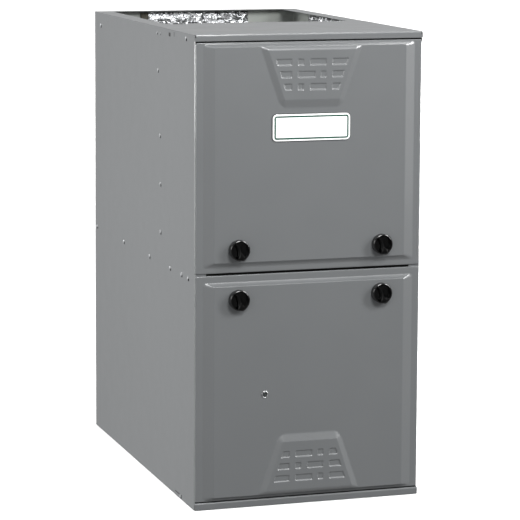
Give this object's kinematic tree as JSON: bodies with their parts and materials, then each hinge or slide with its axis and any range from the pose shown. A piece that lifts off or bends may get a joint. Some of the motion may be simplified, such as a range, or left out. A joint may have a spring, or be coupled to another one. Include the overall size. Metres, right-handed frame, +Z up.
{
  "type": "forced air gas furnace",
  "caption": "Upflow gas furnace cabinet with two lift-off doors, quarter-turn latches, burners, heat exchanger, inducer and blower inside.",
  "frame": {"origin": "on the floor, under the middle of the overall box", "axes": "+Z up, the doors face -Y, +X is to the right seen from the front"},
  "size_m": [0.447, 0.7724, 0.889],
  "materials": {
    "painted_steel": "satin grey powder coat with a fine texture",
    "galvanised_steel": "galvanised sheet",
    "aluminised_steel": "aluminised sheet",
    "foil": "crinkled foil facing on glass wool",
    "white_enamel": "gloss white enamel",
    "bright_ring": "bright plated",
    "sight_glass": "clear, dark behind",
    "black_plastic": "moulded black, low sheen",
    "grey_plastic": "moulded dark grey",
    "white_plastic": "white plastic pipe",
    "red_plastic": "moulded red",
    "board_green": "coated circuit board",
    "black_iron": "black pipe and enamelled iron",
    "cast_aluminium": "as cast",
    "ceramic": "unglazed",
    "motor_black": "black motor shell",
    "hose_rubber": "moulded hose"
  },
  "bodies": {
    "root": {"casing_wrapper": "painted_steel", "top_cover": "painted_steel", "base_rail": "painted_steel", "centre_rail": "painted_steel", "blower_deck": "galvanised_steel", "cell_panel": "galvanised_steel", "rear_insulation_blanket": "foil", "right_insulation_blanket": "foil", "left_insulation_blanket": "foil", "burner_box": "aluminised_steel", "inshot_burner_1": "aluminised_steel", "inshot_burner_2": "aluminised_steel", "inshot_burner_3": "aluminised_steel", "gas_manifold": "black_iron", "gas_valve": "cast_aluminium", "gas_supply_pipe": "black_iron", "hot_surface_igniter": "ceramic", "flame_sensor": "ceramic", "primary_exchanger_cell_1": "aluminised_steel", "primary_exchanger_cell_2": "aluminised_steel", "primary_exchanger_cell_3": "aluminised_steel", "secondary_exchanger_coil": "galvanised_steel", "coupling_box": "aluminised_steel", "collector_box": "black_plastic", "inducer_housing": "grey_plastic", "inducer_motor": "motor_black", "vent_pipe": "white_plastic", "pressure_switch": "black_plastic", "pressure_tube": "hose_rubber", "limit_switch": "black_plastic", "rollout_switch": "black_plastic", "condensate_trap": "grey_plastic", "condensate_hose": "hose_rubber", "blower_housing": "galvanised_steel", "blower_motor": "motor_black", "motor_mount": "black_iron", "control_tray": "galvanised_steel", "control_board": "board_green", "transformer": "black_iron", "door_switch": "black_plastic"},
    "upper_door": {"upper_door_panel": "painted_steel", "upper_door_insulation": "foil", "badge_plate": "white_enamel"},
    "lower_door": {"lower_door_panel": "painted_steel", "lower_door_insulation": "foil", "sight_glass_bezel": "bright_ring", "sight_glass_lens": "sight_glass"},
    "upper_left_latch": {"upper_left_knob": "black_plastic", "upper_left_latch_cam": "galvanised_steel"},
    "upper_right_latch": {"upper_right_knob": "black_plastic", "upper_right_latch_cam": "galvanised_steel"},
    "lower_left_latch": {"lower_left_knob": "black_plastic", "lower_left_latch_cam": "galvanised_steel"},
    "lower_right_latch": {"lower_right_knob": "black_plastic", "lower_right_latch_cam": "galvanised_steel"},
    "blower_rotor": {"blower_wheel": "galvanised_steel"},
    "inducer_rotor": {"inducer_wheel": "grey_plastic"},
    "gas_cock": {"gas_valve_switch": "red_plastic"},
    "reset_button": {"rollout_reset_button": "red_plastic"},
    "switch_plunger": {"door_switch_plunger": "white_plastic"}
  },
  "joints": [
    {"name": "upper_door_pull", "type": "slide", "parent": "root", "child": "upper_door", "axis": [0, -1, 0], "range_m": [0, 0.14]},
    {"name": "lower_door_pull", "type": "slide", "parent": "root", "child": "lower_door", "axis": [0, -1, 0], "range_m": [0, 0.14]},
    {"name": "upper_left_knob_turn", "type": "hinge", "parent": "upper_door", "child": "upper_left_latch", "pos_m": [-0.1408, -0.37225, 0.4903], "axis": [0, 1, 0], "range_deg": [0, 90]},
    {"name": "upper_right_knob_turn", "type": "hinge", "parent": "upper_door", "child": "upper_right_latch", "pos_m": [0.1408, -0.37225, 0.4903], "axis": [0, 1, 0], "range_deg": [0, 90]},
    {"name": "lower_left_knob_turn", "type": "hinge", "parent": "lower_door", "child": "lower_left_latch", "pos_m": [-0.1408, -0.37225, 0.3969], "axis": [0, 1, 0], "range_deg": [0, 90]},
    {"name": "lower_right_knob_turn", "type": "hinge", "parent": "lower_door", "child": "lower_right_latch", "pos_m": [0.1408, -0.37225, 0.3969], "axis": [0, 1, 0], "range_deg": [0, 90]},
    {"name": "blower_wheel_spin", "type": "hinge", "parent": "root", "child": "blower_rotor", "pos_m": [0, 0.06, 0.222], "axis": [1, 0, 0], "continuous": true},
    {"name": "inducer_wheel_spin", "type": "hinge", "parent": "root", "child": "inducer_rotor", "pos_m": [-0.02, -0.195, 0.588], "axis": [0, 1, 0], "continuous": true},
    {"name": "gas_valve_switch_rock", "type": "hinge", "parent": "root", "child": "gas_cock", "pos_m": [0.16, -0.325, 0.751], "axis": [1, 0, 0], "range_deg": [0, 30]},
    {"name": "rollout_reset_press", "type": "slide", "parent": "root", "child": "reset_button", "axis": [0, 1, 0], "range_m": [0, 0.0015], "stiffness_N_per_m": 150},
    {"name": "door_switch_press", "type": "slide", "parent": "root", "child": "switch_plunger", "axis": [0, 1, 0], "range_m": [0, 0.003], "stiffness_N_per_m": 150}
  ]
}
